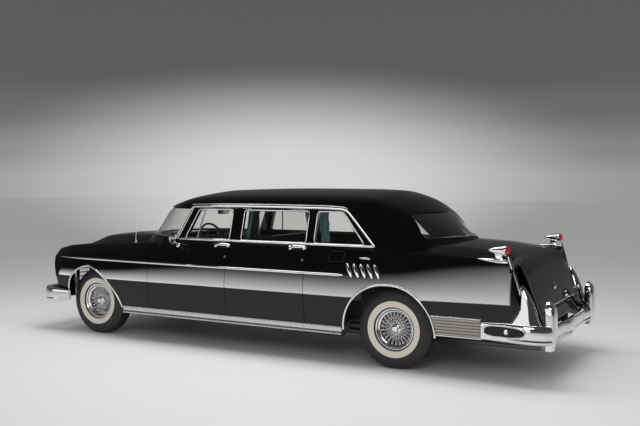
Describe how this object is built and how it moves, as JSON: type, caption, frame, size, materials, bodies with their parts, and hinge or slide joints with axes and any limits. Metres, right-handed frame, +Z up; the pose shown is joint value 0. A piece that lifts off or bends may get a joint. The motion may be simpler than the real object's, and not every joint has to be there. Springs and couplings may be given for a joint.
{
  "type": "limousine",
  "caption": "Long black four-door limousine with a wrapped windshield, finned rear fenders with free-standing tail lamps, wire wheels, opening doors, hood and trunk lid.",
  "frame": {"origin": "on the floor under the middle of the car's length and width", "axes": "+X points to the front along the car, +Y to its left side, +Z up"},
  "size_m": [6.159, 2.007, 1.7015],
  "materials": {
    "paint": "gloss",
    "chrome": "polished",
    "glass": "clear",
    "tyre": "matte",
    "chassis": "satin",
    "iron": "satin",
    "steel": "satin",
    "lens": "gloss",
    "lamp_glass": "clear",
    "seat_cloth": "woven",
    "trim": "satin"
  },
  "bodies": {
    "body": {"chassis_frame": "chassis", "floor_pan": "chassis", "front_fender_left": "paint", "front_fender_right": "paint", "cowl": "paint", "quarter_panel_left": "paint", "quarter_panel_right": "paint", "roof_shell": "paint", "tail_panel": "paint", "fixed_glass": "glass", "grille": "chrome", "front_bumper": "chrome", "rear_bumper": "chrome", "headlamps": "lamp_glass", "tail_lamps": "chrome", "tail_lenses": "lens", "instrument_panel": "paint", "front_seat": "seat_cloth", "rear_seat": "seat_cloth", "partition": "trim", "engine_block": "iron", "front_suspension": "steel", "rear_axle": "iron", "exhaust_system": "steel", "fuel_tank": "chassis"},
    "steering_wheel": {"steering_wheel": "trim"},
    "hood": {"hood": "paint"},
    "deck_lid": {"deck_lid": "paint"},
    "door_front_left": {"door_front_left": "paint", "door_glass_front_left": "glass"},
    "door_front_right": {"door_front_right": "paint", "door_glass_front_right": "glass"},
    "door_rear_left": {"door_rear_left": "paint", "door_glass_rear_left": "glass"},
    "door_rear_right": {"door_rear_right": "paint", "door_glass_rear_right": "glass"},
    "knuckle_left": {"knuckle_left": "steel"},
    "knuckle_right": {"knuckle_right": "steel"},
    "wheel_front_left": {"wheel_front_left": "chrome", "tyre_front_left": "tyre"},
    "wheel_front_right": {"wheel_front_right": "chrome", "tyre_front_right": "tyre"},
    "wheel_rear_left": {"wheel_rear_left": "chrome", "tyre_rear_left": "tyre"},
    "wheel_rear_right": {"wheel_rear_right": "chrome", "tyre_rear_right": "tyre"}
  },
  "joints": [
    {"name": "door_front_left_hinge", "type": "hinge", "parent": "body", "child": "door_front_left", "pos_m": [1.3425, 1.0035, 0.75], "axis": [0, 0, -1], "range_deg": [0, 70]},
    {"name": "door_front_right_hinge", "type": "hinge", "parent": "body", "child": "door_front_right", "pos_m": [1.3425, -1.0035, 0.75], "axis": [0, 0, 1], "range_deg": [0, 70]},
    {"name": "door_rear_left_hinge", "type": "hinge", "parent": "body", "child": "door_rear_left", "pos_m": [0.3015, 1.0035, 0.75], "axis": [0, 0, -1], "range_deg": [0, 70]},
    {"name": "door_rear_right_hinge", "type": "hinge", "parent": "body", "child": "door_rear_right", "pos_m": [0.3015, -1.0035, 0.75], "axis": [0, 0, 1], "range_deg": [0, 70]},
    {"name": "hood_hinge", "type": "hinge", "parent": "body", "child": "hood", "pos_m": [1.905, 0, 1.2], "axis": [0, -1, 0], "range_deg": [0, 50]},
    {"name": "deck_lid_hinge", "type": "hinge", "parent": "body", "child": "deck_lid", "pos_m": [-2.225, 0, 1.212], "axis": [0, 1, 0], "range_deg": [0, 60]},
    {"name": "steer_left", "type": "hinge", "parent": "body", "child": "knuckle_left", "pos_m": [2.2185, 0.665, 0.379], "axis": [0, 0, 1], "range_deg": [-30, 30]},
    {"name": "steer_right", "type": "hinge", "parent": "body", "child": "knuckle_right", "pos_m": [2.2185, -0.665, 0.379], "axis": [0, 0, 1], "range_deg": [-30, 30]},
    {"name": "steering_wheel_turn", "type": "hinge", "parent": "body", "child": "steering_wheel", "pos_m": [0.88, 0.39, 1.1], "axis": [-0.9063, 0, 0.4226], "range_deg": [-480, 480]},
    {"name": "wheel_front_left_spin", "type": "hinge", "parent": "knuckle_left", "child": "wheel_front_left", "pos_m": [2.2185, 0.77, 0.379], "axis": [0, 1, 0], "continuous": true},
    {"name": "wheel_rear_left_spin", "type": "hinge", "parent": "body", "child": "wheel_rear_left", "pos_m": [-1.5785, 0.7875, 0.379], "axis": [0, 1, 0], "continuous": true},
    {"name": "wheel_front_right_spin", "type": "hinge", "parent": "knuckle_right", "child": "wheel_front_right", "pos_m": [2.2185, -0.77, 0.379], "axis": [0, 1, 0], "continuous": true},
    {"name": "wheel_rear_right_spin", "type": "hinge", "parent": "body", "child": "wheel_rear_right", "pos_m": [-1.5785, -0.7875, 0.379], "axis": [0, 1, 0], "continuous": true}
  ],
  "couplings": [
    {"joint": "steer_right", "follows": "steer_left", "ratio": 1},
    {"joint": "steering_wheel_turn", "follows": "steer_left", "ratio": 16}
  ]
}
